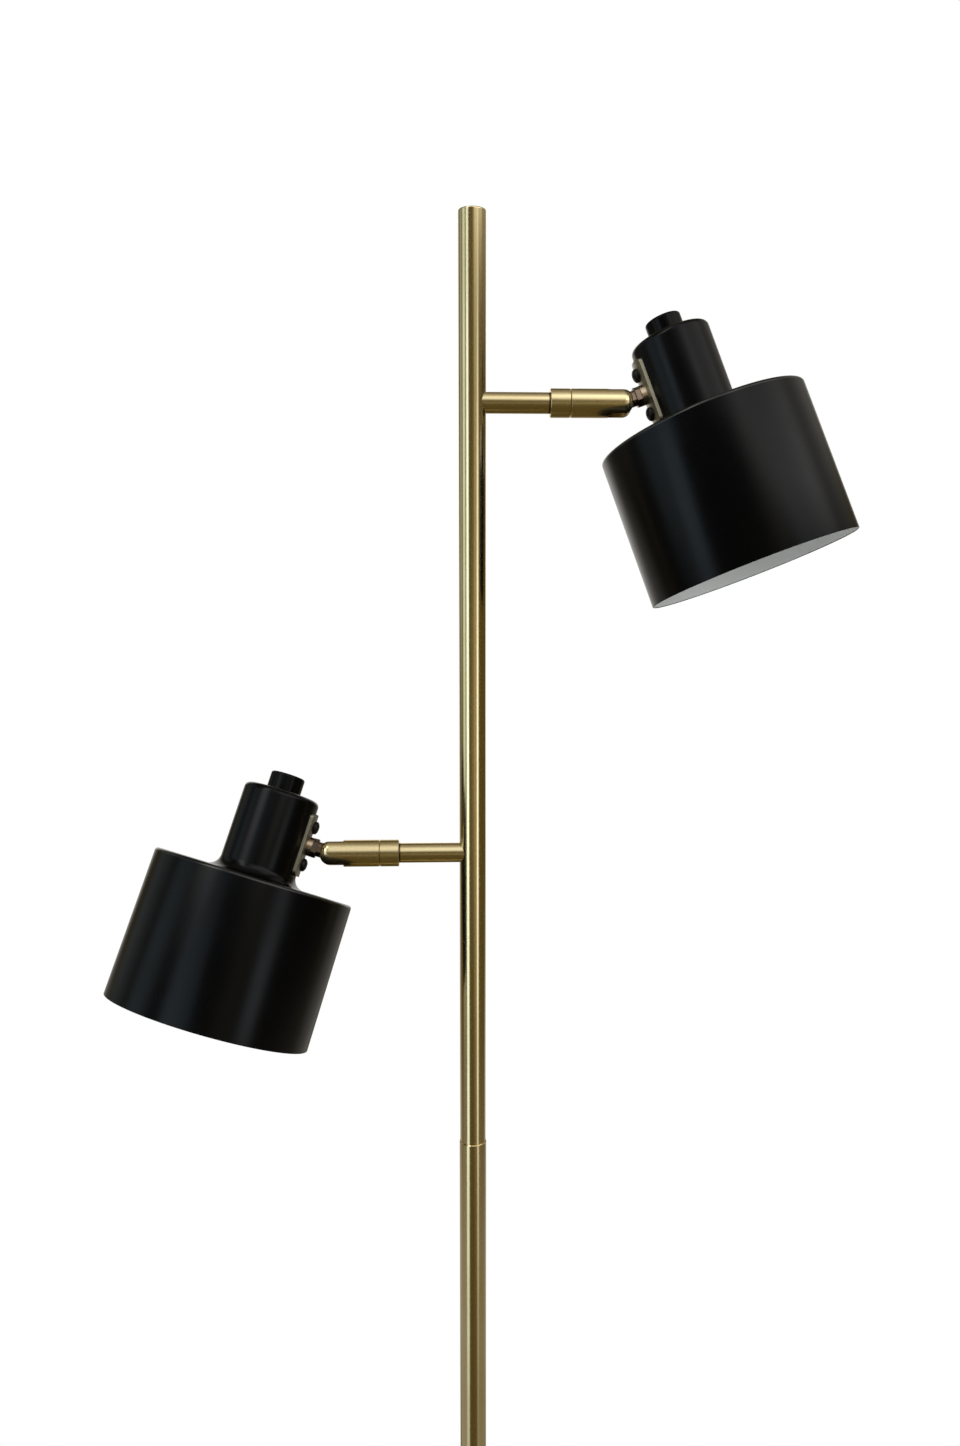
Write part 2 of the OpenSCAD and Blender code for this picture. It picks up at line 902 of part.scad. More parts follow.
// Knob on top of the cup, hollow over the switch nut and pressed on the shaft
module knob() {
    z0 = cup_top + air;
    z1 = cup_top + knob_h;
    r = knob_d / 2;
    color([0.04, 0.04, 0.05])
        difference() {
            rotate_extrude()
                polygon(concat(
                    [[0, z0], [r - chamfer, z0], [r, z0 + chamfer]],
                    arc(r - knob_edge, z1 - knob_edge, knob_edge, 0, 90),
                    [[0, z1]]
                ));
            post(cup_top, cup_top + knob_recess, knob_nut_r + 0.7);
            post(cup_top, shaft_h1 + 0.2, shaft_r + fit);
        }
}

// Shaft that turns with the knob
module switch_shaft() {
    color("silver")
        post(shaft_h0, shaft_h1, shaft_r);
}

base_cover();
base_weight();
base_pad();
base_stud();
base_washer();
base_nut();
cord_grommet();
pole_lower();
pole_middle();
pole_upper();
pole_sockets();
pole_studs();
pole_cap();
pole_leads();
on_arm(UPPER) arm();  // upper_arm
on_arm(LOWER) arm();  // lower_arm
on_arm(UPPER) wire_bush();  // upper_wire_bush
on_arm(LOWER) wire_bush();  // lower_wire_bush
on_arm(UPPER) collar();  // upper_collar
on_arm(LOWER) collar();  // lower_collar
on_arm(UPPER) swivel_spindle();  // upper_swivel_spindle
on_arm(LOWER) swivel_spindle();  // lower_swivel_spindle
on_arm(UPPER) spring_washer();  // upper_spring_washer
on_arm(LOWER) spring_washer();  // lower_spring_washer
on_arm(UPPER) clip();  // upper_clip
on_arm(LOWER) clip();  // lower_clip
on_barrel(UPPER) barrel();  // upper_barrel
on_barrel(LOWER) barrel();  // lower_barrel
on_barrel(UPPER) tilt_pin();  // upper_tilt_pin
on_barrel(LOWER) tilt_pin();  // lower_tilt_pin
on_head(UPPER) stem();  // upper_stem
on_head(LOWER) stem();  // lower_stem
on_head(UPPER) saddle_washer();  // upper_saddle_washer
on_head(LOWER) saddle_washer();  // lower_saddle_washer
on_head(UPPER) bracket();  // upper_bracket
on_head(LOWER) bracket();  // lower_bracket
on_head(UPPER) bracket_screws();  // upper_bracket_screws
on_head(LOWER) bracket_screws();  // lower_bracket_screws
on_head(UPPER) nut_plate();  // upper_nut_plate
on_head(LOWER) nut_plate();  // lower_nut_plate
on_axis(UPPER) shade();  // upper_shade
on_axis(LOWER) shade();  // lower_shade
on_axis(UPPER) lampholder();  // upper_lampholder
on_axis(LOWER) lampholder();  // lower_lampholder
on_axis(UPPER) lamp_sleeve();  // upper_lamp_sleeve
on_axis(LOWER) lamp_sleeve();  // lower_lamp_sleeve
on_axis(UPPER) contact();  // upper_contact
on_axis(LOWER) contact();  // lower_contact
on_axis(UPPER) switch_block();  // upper_switch
on_axis(LOWER) switch_block();  // lower_switch
on_axis(UPPER) switch_nut();  // upper_switch_nut
on_axis(LOWER) switch_nut();  // lower_switch_nut
on_head(UPPER) leads();  // upper_leads
on_head(LOWER) leads();  // lower_leads
on_axis(UPPER) knob();  // upper_knob
on_axis(LOWER) knob();  // lower_knob
on_axis(UPPER) switch_shaft();  // upper_switch_shaft
on_axis(LOWER) switch_shaft();  // lower_switch_shaft
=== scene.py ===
"""Looks of a brass pole floor lamp with two black spotlight heads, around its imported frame."""

import json
import math

import bmesh
import bpy
from mathutils import Matrix, Vector


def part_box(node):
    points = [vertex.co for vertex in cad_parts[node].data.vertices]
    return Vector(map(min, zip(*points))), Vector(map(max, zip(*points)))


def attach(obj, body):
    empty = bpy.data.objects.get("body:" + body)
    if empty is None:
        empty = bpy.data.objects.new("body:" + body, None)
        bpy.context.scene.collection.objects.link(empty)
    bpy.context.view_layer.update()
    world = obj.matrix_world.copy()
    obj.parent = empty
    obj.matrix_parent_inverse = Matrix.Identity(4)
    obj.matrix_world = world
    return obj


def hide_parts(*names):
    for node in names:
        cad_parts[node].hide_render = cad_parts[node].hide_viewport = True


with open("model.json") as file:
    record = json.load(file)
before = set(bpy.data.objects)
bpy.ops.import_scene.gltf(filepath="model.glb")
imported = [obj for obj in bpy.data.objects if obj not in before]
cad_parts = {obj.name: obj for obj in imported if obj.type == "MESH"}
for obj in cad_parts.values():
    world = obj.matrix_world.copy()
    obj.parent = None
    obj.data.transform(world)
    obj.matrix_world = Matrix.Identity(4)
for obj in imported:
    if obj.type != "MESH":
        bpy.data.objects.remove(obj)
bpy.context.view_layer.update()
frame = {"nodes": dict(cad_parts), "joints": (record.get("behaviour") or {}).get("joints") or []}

NODES = frame["nodes"]
JOINTS = {joint["name"]: joint for joint in frame["joints"]}
LAMPS = ("upper", "lower")
MM = 0.001


# Camera, at the photograph's viewing angle. It looks slightly down at the pole, and its turn swings
# it a little round the pole

PHOTO_HEIGHT_PX = 1446
FOCAL_PX = 1155.2
CENTRE_ROW_PX = 761.8
SENSOR_MM = 36.0
CLIP_START = 0.02
CAMERA_DISTANCE = 0.7074
CAMERA_HEIGHT = 1.2883
CAMERA_SIDE = 0.0046
CAMERA_DIP = math.radians(8.88)
CAMERA_TURN = math.radians(2.19)


def make_camera():
    """The camera, with its lens and shift worked out from the photograph's pixels."""
    data = bpy.data.cameras.new("camera")
    data.sensor_width = SENSOR_MM
    data.lens = FOCAL_PX * SENSOR_MM / PHOTO_HEIGHT_PX
    data.shift_y = (CENTRE_ROW_PX - PHOTO_HEIGHT_PX / 2) / PHOTO_HEIGHT_PX
    data.clip_start = CLIP_START
    camera = bpy.data.objects.new("camera", data)
    bpy.context.scene.collection.objects.link(camera)
    turn = Matrix.Rotation(-CAMERA_TURN, 4, "Z")
    place = Matrix.Translation((CAMERA_SIDE, -CAMERA_DISTANCE, CAMERA_HEIGHT))
    aim = Matrix.Rotation(math.pi / 2 - CAMERA_DIP, 4, "X")
    camera.matrix_world = turn @ place @ aim
    bpy.context.scene.camera = camera


# Node trees

def add(tree, kind, inputs=None, **settings):
    """Adds a node. An input is a value, or the output socket that feeds it."""
    node = tree.nodes.new(kind)
    for name, value in settings.items():
        setattr(node, name, value)
    for name, value in (inputs or {}).items():
        if isinstance(value, bpy.types.NodeSocket):
            tree.links.new(value, node.inputs[name])
        else:
            node.inputs[name].default_value = value
    return node


def maths(tree, operation, a, b=0.0, c=0.0, clamp=False):
    """A sum, product or other function of up to three values."""
    inputs = {0: a, 1: b, 2: c}
    return add(tree, "ShaderNodeMath", inputs, operation=operation, use_clamp=clamp).outputs[0]


def ramp(tree, value, low, high, to_low=0.0, to_high=1.0):
    """Smooth step of a value from low to high."""
    inputs = {"Value": value, "From Min": low, "From Max": high, "To Min": to_low, "To Max": to_high}
    node = add(tree, "ShaderNodeMapRange", inputs, interpolation_type="SMOOTHSTEP")
    return node.outputs["Result"]


def mix_colour(tree, factor, a, b):
    """Colour a where the factor is 0, and b where it is 1."""
    inputs = {"Factor": factor, 6: a, 7: b}
    return add(tree, "ShaderNodeMix", inputs, data_type="RGBA").outputs[2]


def split(tree, vector):
    """The X, Y and Z outputs of a vector."""
    return add(tree, "ShaderNodeSeparateXYZ", {0: vector}).outputs


def noise(tree, vector, scale, detail=2.0, roughness=0.5):
    """Cloudy noise from 0 to 1, with scale as its cycles a metre."""
    inputs = {"Vector": vector, "Scale": scale, "Detail": detail, "Roughness": roughness}
    return add(tree, "ShaderNodeTexNoise", inputs).outputs["Fac"]


def new_group(name, inputs, outputs):
    """A node group with named sockets: inputs as name to default, outputs as names. An input with
    no default is a vector."""
    tree = bpy.data.node_groups.new(name, "ShaderNodeTree")
    for label, default in inputs.items():
        kind = "NodeSocketVector" if default is None else "NodeSocketFloat"
        socket = tree.interface.new_socket(label, in_out="INPUT", socket_type=kind)
        if default is not None:
            socket.default_value = default
    for label in outputs:
        tree.interface.new_socket(label, in_out="OUTPUT", socket_type="NodeSocketFloat")
    source = tree.nodes.new("NodeGroupInput")
    sink = tree.nodes.new("NodeGroupOutput")
    return tree, source.outputs, sink.inputs


FINE_LINES_SHARE = 0.55
BROAD_LINES_SHARE = 0.45


def drawn_lines_group():
    """Fine and broad lines, for metal that was drawn, brushed or turned. The vector is stretched
    along the lines before it comes in."""
    sockets = {"Vector": None, "Fine": 1700.0, "Broad": 420.0}
    tree, given, out = new_group("Drawn lines", sockets, ["Lines"])
    fine = noise(tree, given["Vector"], given["Fine"], detail=3.0, roughness=0.6)
    broad = noise(tree, given["Vector"], given["Broad"], detail=2.0, roughness=0.5)
    broad_part = maths(tree, "MULTIPLY", broad, BROAD_LINES_SHARE)
    both = maths(tree, "MULTIPLY_ADD", fine, FINE_LINES_SHARE, broad_part)
    tree.links.new(ramp(tree, both, low=0.3, high=0.7), out["Lines"])
    return tree


def patina_group():
    """Broad soft patches and small specks, for plated metal that has aged a little."""
    sockets = {"Vector": None, "Patches": 18.0, "Specks": 900.0}
    tree, given, out = new_group("Patina", sockets, ["Patches", "Specks"])
    patches = noise(tree, given["Vector"], given["Patches"], detail=4.0, roughness=0.55)
    specks = noise(tree, given["Vector"], given["Specks"], detail=2.0, roughness=0.5)
    tree.links.new(ramp(tree, patches, low=0.35, high=0.7), out["Patches"])
    tree.links.new(ramp(tree, specks, low=0.66, high=0.74), out["Specks"])
    return tree


# Scale of the unevenly glossy places, as a share of the ripple's
GLOSS_SCALE = 0.05


def skin_group():
    """The fine rippled skin of sprayed paint or a moulding, with a little settled dust on what
    faces up."""
    sockets = {"Vector": None, "Ripple": 900.0, "Dust": 2600.0}
    tree, given, out = new_group("Sprayed skin", sockets, ["Height", "Gloss", "Dust"])
    ripple = noise(tree, given["Vector"], given["Ripple"], detail=2.0, roughness=0.5)
    gloss_scale = maths(tree, "MULTIPLY", given["Ripple"], GLOSS_SCALE)
    gloss = noise(tree, given["Vector"], gloss_scale, detail=3.0, roughness=0.5)
    grains = noise(tree, given["Vector"], given["Dust"], detail=1.0, roughness=0.4)
    motes = ramp(tree, grains, low=0.74, high=0.8)
    upward = split(tree, add(tree, "ShaderNodeNewGeometry").outputs["Normal"])["Z"]
    facing = ramp(tree, upward, low=0.1, high=0.9)
    tree.links.new(ripple, out["Height"])
    tree.links.new(gloss, out["Gloss"])
    tree.links.new(maths(tree, "MULTIPLY", motes, facing), out["Dust"])
    return tree


DRAWN = drawn_lines_group()
PATINA = patina_group()
SKIN = skin_group()


def use_group(tree, group, inputs):
    """Places a node group, and gives its outputs."""
    return add(tree, "ShaderNodeGroup", inputs, node_tree=group).outputs


# Kinds of finish

LINE_TINT = 0.25          # how far a line goes towards the metal's second colour
LINE_ROUGHNESS = 0.06     # how much rougher a line is
SPOT_ROUGHNESS = 0.06     # how much rougher an aged spot is
GLOSS_SWING = 0.12        # how far apart the glossiest and the dullest paint are in roughness

# Painted shadow on an arm, a dark ring where it goes into its collar: its colour, and how far from
# the collar's end it starts and is full
COLLAR_SHADOW_COLOUR = (0.13, 0.09, 0.05)
COLLAR_SHADOW_START = 1.3 * MM
COLLAR_SHADOW_FULL = 0.7 * MM


def new_material(name):
    """An empty material with its shader, and the object's own coordinates in metres."""
    material = bpy.data.materials.new(name)
    material.use_nodes = True
    tree = material.node_tree
    tree.nodes.clear()
    shader = tree.nodes.new("ShaderNodeBsdfPrincipled")
    surface = tree.nodes.new("ShaderNodeOutputMaterial")
    tree.links.new(shader.outputs[0], surface.inputs["Surface"])
    place = tree.nodes.new("ShaderNodeTexCoord").outputs["Object"]
    return material, tree, shader, place


def bump(tree, shader, height, depth):
    """Bumps of a depth in metres where the height goes from 0 to 1."""
    node = add(tree, "ShaderNodeBump", {"Height": height, "Distance": depth, "Strength": 1.0})
    tree.links.new(node.outputs[0], shader.inputs["Normal"])


def stretched(tree, place, stretch):
    """Coordinates squeezed along the direction of the lines, so that a pattern runs long there."""
    return add(tree, "ShaderNodeMapping", {"Vector": place, "Scale": stretch}).outputs[0]


def ring_coordinates(tree, place):
    """Coordinates by distance from the upright axis, for lines that run round it."""
    parts = split(tree, place)
    flat = add(tree, "ShaderNodeCombineXYZ", {"X": parts["X"], "Y": parts["Y"]}).outputs[0]
    radius = add(tree, "ShaderNodeVectorMath", {0: flat}, operation="LENGTH").outputs["Value"]
    return add(tree, "ShaderNodeCombineXYZ", {"X": radius, "Z": parts["Z"]}).outputs[0]


def paint_collar_shadow(tree, place, tint):
    """Paints a shadow into an arm's colour: a narrow dark ring where the tube goes into its collar.
    """
    collar_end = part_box("upper_collar")[0].x
    reach = maths(tree, "ABSOLUTE", split(tree, place)["X"])
    ring = ramp(tree, reach, low=collar_end - COLLAR_SHADOW_START, high=collar_end - COLLAR_SHADOW_FULL)
    return mix_colour(tree, ring, tint, (*COLLAR_SHADOW_COLOUR, 1))


def lined_metal(name, colour, shade, roughness, stretch, patina=0.35, specks=0.12, depth=4e-6,
                shadow_ring=False):
    """Plated or bare metal with lines along or round it, and light ageing towards a second colour,
    the shade. Patina and specks say how strong the patches and specks of age are. The arms ask
    for a painted shadow, a dark ring where the tube goes into its collar."""
    material, tree, shader, place = new_material(name)
    along = ring_coordinates(tree, place) if stretch == "rings" else stretched(tree, place, stretch)
    lines = use_group(tree, DRAWN, {"Vector": along})["Lines"]
    aged = use_group(tree, PATINA, {"Vector": place})
    patches = maths(tree, "MULTIPLY", aged["Patches"], patina)
    spots = maths(tree, "MAXIMUM", patches, maths(tree, "MULTIPLY", aged["Specks"], specks))
    amount = maths(tree, "MULTIPLY_ADD", lines, LINE_TINT, spots, clamp=True)
    tint = mix_colour(tree, amount, (*colour, 1), (*shade, 1))
    # painted shadow: darkens the arm's colour in a ring where it goes into its collar
    if shadow_ring:
        tint = paint_collar_shadow(tree, place, tint)
    rough = maths(tree, "MULTIPLY_ADD", lines, LINE_ROUGHNESS, roughness)
    rough = maths(tree, "MULTIPLY_ADD", spots, SPOT_ROUGHNESS, rough)
    tree.links.new(tint, shader.inputs["Base Color"])
    tree.links.new(rough, shader.inputs["Roughness"])
    shader.inputs["Metallic"].default_value = 1.0
    bump(tree, shader, lines, depth)
    return material


def sprayed(name, colour, roughness, dust_colour, ripple=900.0, depth=8e-6, dust=0.5, shine=0.5):
    """Paint, enamel or a moulding: one colour, a faint ripple, uneven gloss and settled dust."""
    material, tree, shader, place = new_material(name)
    skin = use_group(tree, SKIN, {"Vector": place, "Ripple": ripple})
    fleck = maths(tree, "MULTIPLY", skin["Dust"], dust)
    tint = mix_colour(tree, fleck, (*colour, 1), (*dust_colour, 1))
    rough = maths(tree, "MULTIPLY_ADD", skin["Gloss"], GLOSS_SWING, roughness - GLOSS_SWING / 2)
    tree.links.new(tint, shader.inputs["Base Color"])
    tree.links.new(rough, shader.inputs["Roughness"])
    shader.inputs["Specular IOR Level"].default_value = shine
    bump(tree, shader, skin["Height"], depth)
    return material


def cast_metal(name, colour, shade, metallic=0.6, roughness=0.75, depth=3e-4):
    """Rough sand-cast iron."""
    material, tree, shader, place = new_material(name)
    grain = noise(tree, place, scale=700.0, detail=5.0, roughness=0.6)
    tint = mix_colour(tree, grain, (*colour, 1), (*shade, 1))
    tree.links.new(tint, shader.inputs["Base Color"])
    shader.inputs["Metallic"].default_value = metallic
    shader.inputs["Roughness"].default_value = roughness
    bump(tree, shader, grain, depth)
    return material


def felt(name, colour, shade, roughness=0.95, sheen=0.3, depth=3e-4):
    """Pressed felt: matted fibres with a soft sheen."""
    material, tree, shader, place = new_material(name)
    fibres = noise(tree, place, scale=1400.0, detail=6.0, roughness=0.7)
    tint = mix_colour(tree, fibres, (*colour, 1), (*shade, 1))
    tree.links.new(tint, shader.inputs["Base Color"])
    shader.inputs["Roughness"].default_value = roughness
    shader.inputs["Sheen Weight"].default_value = sheen
    bump(tree, shader, fibres, depth)
    return material


# The lamp's own finishes. Lines run long where a stretch is small

BRASS = (0.80, 0.67, 0.39)
BRASS_AGED = (0.66, 0.53, 0.27)
STEEL = (0.60, 0.60, 0.61)
STEEL_DULL = (0.42, 0.42, 0.43)
GREY_DUST = (0.10, 0.10, 0.10)
PALE_DUST = (0.5, 0.48, 0.45)

MATERIALS = {
    "pole brass": lined_metal(
        "Pole brass", BRASS, BRASS_AGED, roughness=0.14, stretch=(1, 1, 0.0006), depth=2e-6,
    ),
    "arm brass": lined_metal(
        "Arm brass", BRASS, BRASS_AGED, roughness=0.17, stretch=(0.003, 1, 1), depth=2e-6,
        # painted shadow where the arm goes into its collar
        shadow_ring=True,
    ),
    "barrel brass": lined_metal(
        "Barrel brass", BRASS, BRASS_AGED, roughness=0.18, stretch=(0.003, 1, 1), depth=2e-6,
    ),
    "base brass": lined_metal(
        "Base brass", BRASS, BRASS_AGED, roughness=0.33, stretch="rings",
    ),
    "nickel": lined_metal(
        "Antique nickel", (0.34, 0.32, 0.25), (0.17, 0.15, 0.11), roughness=0.34,
        stretch=(1, 1, 0.05), patina=0.7, specks=1.0,
    ),
    "dark nickel": lined_metal(
        "Dark nickel", (0.30, 0.225, 0.18), (0.10, 0.07, 0.05), roughness=0.24,
        stretch=(0.05, 1, 1), patina=0.6, specks=1.0,
    ),
    "warm nickel": lined_metal(
        "Warm nickel", (0.58, 0.46, 0.34), (0.26, 0.18, 0.12), roughness=0.22,
        stretch=(0.1, 1, 1), patina=0.6, specks=1.0,
    ),
    "steel": lined_metal(
        "Zinc steel", STEEL, STEEL_DULL, roughness=0.34, stretch=(1, 1, 0.1), patina=0.5,
    ),
    "contact brass": lined_metal(
        "Contact brass", (0.83, 0.66, 0.32), BRASS_AGED, roughness=0.3, stretch=(1, 0.1, 1),
    ),
    "black paint": sprayed(
        "Black paint", (0.0004, 0.0006, 0.0011), roughness=0.24, dust_colour=GREY_DUST,
        dust=0.25, shine=0.16,
    ),
    "black edge": sprayed(
        "Black edge", (0.0010, 0.0012, 0.0016), roughness=0.24, dust_colour=GREY_DUST,
        dust=0.25, shine=0.5,
    ),
    "white enamel": sprayed(
        "White enamel", (0.51, 0.525, 0.52), roughness=0.38, dust_colour=PALE_DUST, dust=0.2,
    ),
    "black knob": sprayed(
        "Black knob", (0.0008, 0.0009, 0.0012), roughness=0.25, dust_colour=GREY_DUST,
        ripple=1600.0, dust=0.25, shine=0.11,
    ),
    "black screw": sprayed(
        "Black screw", (0.004, 0.004, 0.004), roughness=0.34, dust_colour=(0.12, 0.12, 0.12),
        ripple=2400.0, dust=0.3, shine=0.22,
    ),
    "white moulding": sprayed(
        "White moulding", (0.78, 0.77, 0.73), roughness=0.5, dust_colour=PALE_DUST, ripple=500.0,
    ),
    "dark moulding": sprayed(
        "Dark moulding", (0.03, 0.03, 0.032), roughness=0.5, dust_colour=(0.2, 0.2, 0.2),
        ripple=500.0,
    ),
    "insulation": sprayed(
        "Wire insulation", (0.42, 0.38, 0.34), roughness=0.5, dust_colour=(0.4, 0.4, 0.4),
        ripple=700.0,
    ),
    "rubber": sprayed(
        "Rubber", (0.012, 0.012, 0.012), roughness=0.65, dust_colour=(0.2, 0.2, 0.2),
        ripple=1200.0, depth=3e-5,
    ),
    "cast iron": cast_metal("Cast iron", (0.11, 0.11, 0.12), (0.05, 0.05, 0.05)),
    "felt": felt("Black felt", (0.010, 0.010, 0.011), (0.035, 0.035, 0.036)),
}

STAND_FINISH = {
    "base_cover": "base brass",
    "base_weight": "cast iron",
    "base_pad": "felt",
    "cord_grommet": "rubber",
    "base_stud": "steel",
    "base_washer": "steel",
    "base_nut": "steel",
    "pole_sockets": "steel",
    "pole_studs": "steel",
    "pole_lower": "pole brass",
    "pole_middle": "pole brass",
    "pole_upper": "pole brass",
    "pole_cap": "pole brass",
    "pole_leads": "insulation",
}
LAMP_FINISH = {
    "arm": "arm brass",
    "wire_bush": "white moulding",
    "collar": "barrel brass",
    "swivel_spindle": "steel",
    "spring_washer": "steel",
    "clip": "steel",
    "barrel": "barrel brass",
    "tilt_pin": "barrel brass",
    "stem": "dark nickel",
    "saddle_washer": "warm nickel",
    "bracket": "nickel",
    "bracket_screws": "black screw",
    "nut_plate": "steel",
    "shade": "black paint",
    "lampholder": "white moulding",
    "lamp_sleeve": "steel",
    "contact": "contact brass",
    "switch": "dark moulding",
    "switch_nut": "steel",
    "leads": "insulation",
    "knob": "black knob",
    "switch_shaft": "steel",
}


def finish_nodes():
    """Gives each carried-over node its material."""
    finishes = dict(STAND_FINISH)
    for lamp in LAMPS:
        finishes.update({f"{lamp}_{name}": finish for name, finish in LAMP_FINISH.items()})
    for node, finish in finishes.items():
        for slot in NODES[node].material_slots:
            slot.material = MATERIALS[finish]


# Geometry of the heads

SHARP_CORNER = math.radians(32)
ARC_STEPS = 10


def head_matrix(lamp):
    """From a head's own frame to the lamp's: origin on the tilt pin, +X along the stem, +Z up."""
    tilt = JOINTS[lamp + "_tilt"]
    up = Vector(JOINTS[lamp + "_knob_turn"]["axis"]).normalized()
    side = -Vector(tilt["axis"]).normalized()
    out = side.cross(up).normalized()
    turn = Matrix((out, side, up)).transposed().to_4x4()
    return Matrix.Translation(tilt["pos_m"]) @ turn


def node_range(node, matrix):
    """Lowest and highest coordinates of a node in the frame of a matrix."""
    inverse = matrix.inverted()
    points = [inverse @ vertex.co for vertex in NODES[node].data.vertices]
    low = Vector([min(p[i] for p in points) for i in range(3)])
    high = Vector([max(p[i] for p in points) for i in range(3)])
    return low, high


def arc(x, y, radius, start, end):
    """Points of an arc about (x, y), from one angle to another in degrees."""
    angles = [math.radians(start + (end - start) * i / ARC_STEPS) for i in range(ARC_STEPS + 1)]
    return [(x + radius * math.cos(a), y + radius * math.sin(a)) for a in angles]


def turned_point(radius, turn, height):
    """The point at a radius and an angle about +Z, at a height."""
    return Vector((radius * math.cos(turn), radius * math.sin(turn), height))


def join_rings(bm, rings):
    """Joins each ring of points to the next, and the last to the first. It gives the faces that
    start at each ring."""
    belts = []
    for ring, other in zip(rings, rings[1:] + rings[:1]):
        corners = zip(ring, ring[1:] + ring[:1], other[1:] + other[:1], other)
        belts.append([bm.faces.new(four) for four in corners])
    return belts


def add_mesh(name, bm, materials):
    """Turns a bmesh into an object with smooth faces and sharp corners."""
    bmesh.ops.recalc_face_normals(bm, faces=bm.faces)
    for face in bm.faces:
        face.smooth = True
    for edge in bm.edges:
        edge.smooth = len(edge.link_faces) != 2 or edge.calc_face_angle(0.0) < SHARP_CORNER
    mesh = bpy.data.meshes.new(name)
    bm.to_mesh(mesh)
    bm.free()
    for material in materials:
        mesh.materials.append(MATERIALS[material])
    obj = bpy.data.objects.new(name, mesh)
    bpy.context.scene.collection.objects.link(obj)
    return obj


LATHE_SEGMENTS = 192


def lathe(name, sections, matrix):
    """A closed ring turned about +Z. Sections are (points, material), in order round the outline."""
    bm = bmesh.new()
    materials = list(dict.fromkeys(material for _, material in sections))
    turns = [2 * math.pi * i / LATHE_SEGMENTS for i in range(LATHE_SEGMENTS)]
    rings = []
    paints = []
    for points, material in sections:
        for radius, height in points:
            rings.append([bm.verts.new(matrix @ turned_point(radius, t, height)) for t in turns])
            paints.append(materials.index(material))
    for paint, belt in zip(paints, join_rings(bm, rings)):
        for face in belt:
            face.material_index = paint
    return add_mesh(name, bm, materials)


SHEET = 0.8 * MM
SHADE_H = 92.0 * MM
SHADE_TAPER = 0.8 * MM
CUP_R = 23.95 * MM
SHOULDER_R = 2.0 * MM
FLARE_R = 7.5 * MM
CROWN_R = 3.5 * MM
TOP_HOLE_R = 5.1 * MM
# Steps of the crown's bend between which its paint shines as an edge does
CROWN_EDGE_START = 5
CROWN_EDGE_END = 9


def shade_wall(shoulder_r, top, inset):
    """Outline of a shade and its cup from the shoulder up, at a distance inside the outer face:
    the shoulder, the flare into the cup, and the crown in to the knob's hole."""
    shoulder = arc(shoulder_r - SHOULDER_R, SHADE_H - SHOULDER_R, SHOULDER_R - inset, 0, 90)
    flare = arc(CUP_R + FLARE_R, SHADE_H + FLARE_R, FLARE_R + inset, 270, 180)
    crown = arc(CUP_R - CROWN_R, top - CROWN_R, CROWN_R - inset, 0, 90)
    return shoulder, flare, crown + [(TOP_HOLE_R, top - inset)]


def shade_shell(lamp):
    """Spun shade and cup: black outside, white inside, with a rounded lip at the mouth."""
    head = head_matrix(lamp)
    low, high = node_range(lamp + "_shade", head)
    matrix = head @ Matrix.Translation(((low.x + high.x) / 2, 0, low.z))
    mouth_r = (high.x - low.x) / 2
    shoulder_r = mouth_r - SHADE_TAPER
    top = high.z - low.z
    lip = SHEET / 2
    rim = arc(mouth_r - lip, lip, lip, -180, 0)
    shoulder, flare, crown = shade_wall(shoulder_r, top, inset=0)
    inner_bends = reversed(shade_wall(shoulder_r, top, inset=SHEET))
    inside = [point for bend in inner_bends for point in reversed(bend)]
    sections = [
        (rim, "black paint"),
        (shoulder[:-1], "black edge"),
        (shoulder[-1:] + flare + crown[:CROWN_EDGE_START], "black paint"),
        (crown[CROWN_EDGE_START:CROWN_EDGE_END], "black edge"),
        (crown[CROWN_EDGE_END:], "black paint"),
        (inside, "white enamel"),
    ]
    shell = lathe(lamp + "_shade_shell", sections, matrix)
    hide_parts(lamp + "_shade")
    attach(shell, lamp + "_head")


THREAD_PITCH = 3.6 * MM
THREAD_DEPTH = 0.5 * MM
SLEEVE_WALL = 0.3 * MM
SLEEVE_CLEARANCE = 0.02 * MM
SLEEVE_SEGMENTS = 72
SLEEVE_RINGS = 48


def thread_sleeve(lamp):
    """Rolled sheet sleeve of the lamp socket, with its round thread."""
    head = head_matrix(lamp)
    low, high = node_range(lamp + "_lamp_sleeve", head)
    matrix = head @ Matrix.Translation(((low.x + high.x) / 2, 0, low.z))
    outer_r = (high.x - low.x) / 2 - SLEEVE_CLEARANCE
    length = high.z - low.z
    bm = bmesh.new()

    def ring(height, inset):
        """One ring of the sleeve, waved by the thread, which fades out at both ends."""
        fade = min(1.0, height / THREAD_PITCH, (length - height) / THREAD_PITCH)
        row = []
        for i in range(SLEEVE_SEGMENTS):
            turn = 2 * math.pi * i / SLEEVE_SEGMENTS
            wave = 0.5 - 0.5 * math.cos(2 * math.pi * height / THREAD_PITCH - turn)
            radius = outer_r - inset - THREAD_DEPTH * wave * fade
            row.append(bm.verts.new(matrix @ turned_point(radius, turn, height)))
        return row

    heights = [length * i / SLEEVE_RINGS for i in range(SLEEVE_RINGS + 1)]
    outside = [ring(height, 0.0) for height in heights]
    inside = [ring(height, SLEEVE_WALL) for height in reversed(heights)]
    join_rings(bm, outside + inside)
    sleeve = add_mesh(lamp + "_thread_sleeve", bm, ["steel"])
    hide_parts(lamp + "_lamp_sleeve")
    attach(sleeve, lamp + "_head")


# Studio

WHITE = (1.0, 1.0, 1.0)
COOL = (0.71, 0.88, 1.0)
PALE = (0.90, 0.94, 1.0)
AMBER = (1.0, 0.92, 0.66)
GLOOM = (0.10, 0.075, 0.026)
PLAIN_LEVEL = 0.62

